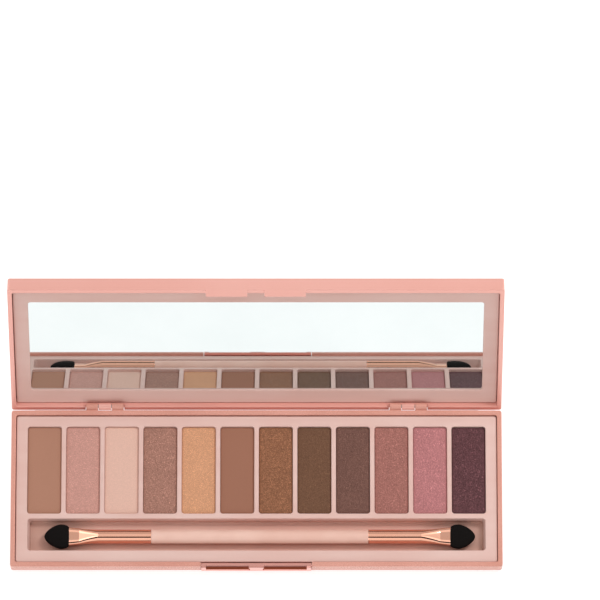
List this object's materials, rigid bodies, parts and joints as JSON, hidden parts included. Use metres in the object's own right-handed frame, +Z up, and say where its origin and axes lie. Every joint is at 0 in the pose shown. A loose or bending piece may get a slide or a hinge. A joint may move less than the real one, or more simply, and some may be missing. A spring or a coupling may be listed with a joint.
{
  "type": "eyeshadow palette",
  "caption": "Slim rectangular eyeshadow palette with pressed powder pans, a hinged mirror lid, a press latch and a double-ended sponge applicator in its own well.",
  "frame": {"origin": "centre of the flat underside of the base", "axes": "+X along the palette's length, -Y towards the edge with the latch, +Y towards the hinge, +Z up"},
  "size_m": [0.21, 0.1124, 0.0705],
  "materials": {
    "rose_gold_shell": "satin",
    "tray_plastic": "satin",
    "tin_pan": "satin",
    "polished_rose_gold": "polished",
    "steel": "polished",
    "handle_plastic": "satin",
    "black_foam": "matte",
    "core_plastic": "satin",
    "frame_plastic": "satin",
    "mirror_glass": "polished",
    "foam_tape": "matte",
    "powder_01": "matte",
    "powder_02": "matte",
    "powder_03": "matte",
    "powder_04": "matte",
    "powder_05": "matte",
    "powder_06": "matte",
    "powder_07": "matte",
    "powder_08": "matte",
    "powder_09": "matte",
    "powder_10": "matte",
    "powder_11": "matte",
    "powder_12": "matte"
  },
  "bodies": {
    "base": {"base_shell": "rose_gold_shell", "tray_insert": "tray_plastic", "pan_01": "tin_pan", "shadow_01": "powder_01", "pan_02": "tin_pan", "shadow_02": "powder_02", "pan_03": "tin_pan", "shadow_03": "powder_03", "pan_04": "tin_pan", "shadow_04": "powder_04", "pan_05": "tin_pan", "shadow_05": "powder_05", "pan_06": "tin_pan", "shadow_06": "powder_06", "pan_07": "tin_pan", "shadow_07": "powder_07", "pan_08": "tin_pan", "shadow_08": "powder_08", "pan_09": "tin_pan", "shadow_09": "powder_09", "pan_10": "tin_pan", "shadow_10": "powder_10", "pan_11": "tin_pan", "shadow_11": "powder_11", "pan_12": "tin_pan", "shadow_12": "powder_12", "hinge_pin_left": "steel", "hinge_pin_right": "steel", "latch_spring": "steel"},
    "lid": {"lid_shell": "rose_gold_shell", "mirror_frame": "frame_plastic", "mirror": "mirror_glass", "mirror_pad": "foam_tape"},
    "press_bar": {"press_bar": "polished_rose_gold"},
    "applicator": {"applicator_handle": "handle_plastic", "ferrule_left": "polished_rose_gold", "ferrule_right": "polished_rose_gold", "sponge_tip_left": "black_foam", "sponge_tip_right": "black_foam", "tip_core_left": "core_plastic", "tip_core_right": "core_plastic"}
  },
  "joints": [
    {"name": "lid_hinge", "type": "hinge", "parent": "base", "child": "lid", "pos_m": [0, 0.036, 0.008], "axis": [-1, 0, 0], "range_deg": [-120, 0]},
    {"name": "latch_press", "type": "slide", "parent": "base", "child": "press_bar", "axis": [0, 1, 0], "range_m": [0, 0.0007], "stiffness_N_per_m": 2000, "springref_m": -0.0005, "deforming": ["latch_spring"]},
    {"name": "applicator_lift", "type": "slide", "parent": "base", "child": "applicator", "axis": [0, 0, 1], "range_m": [0, 0.04]}
  ]
}
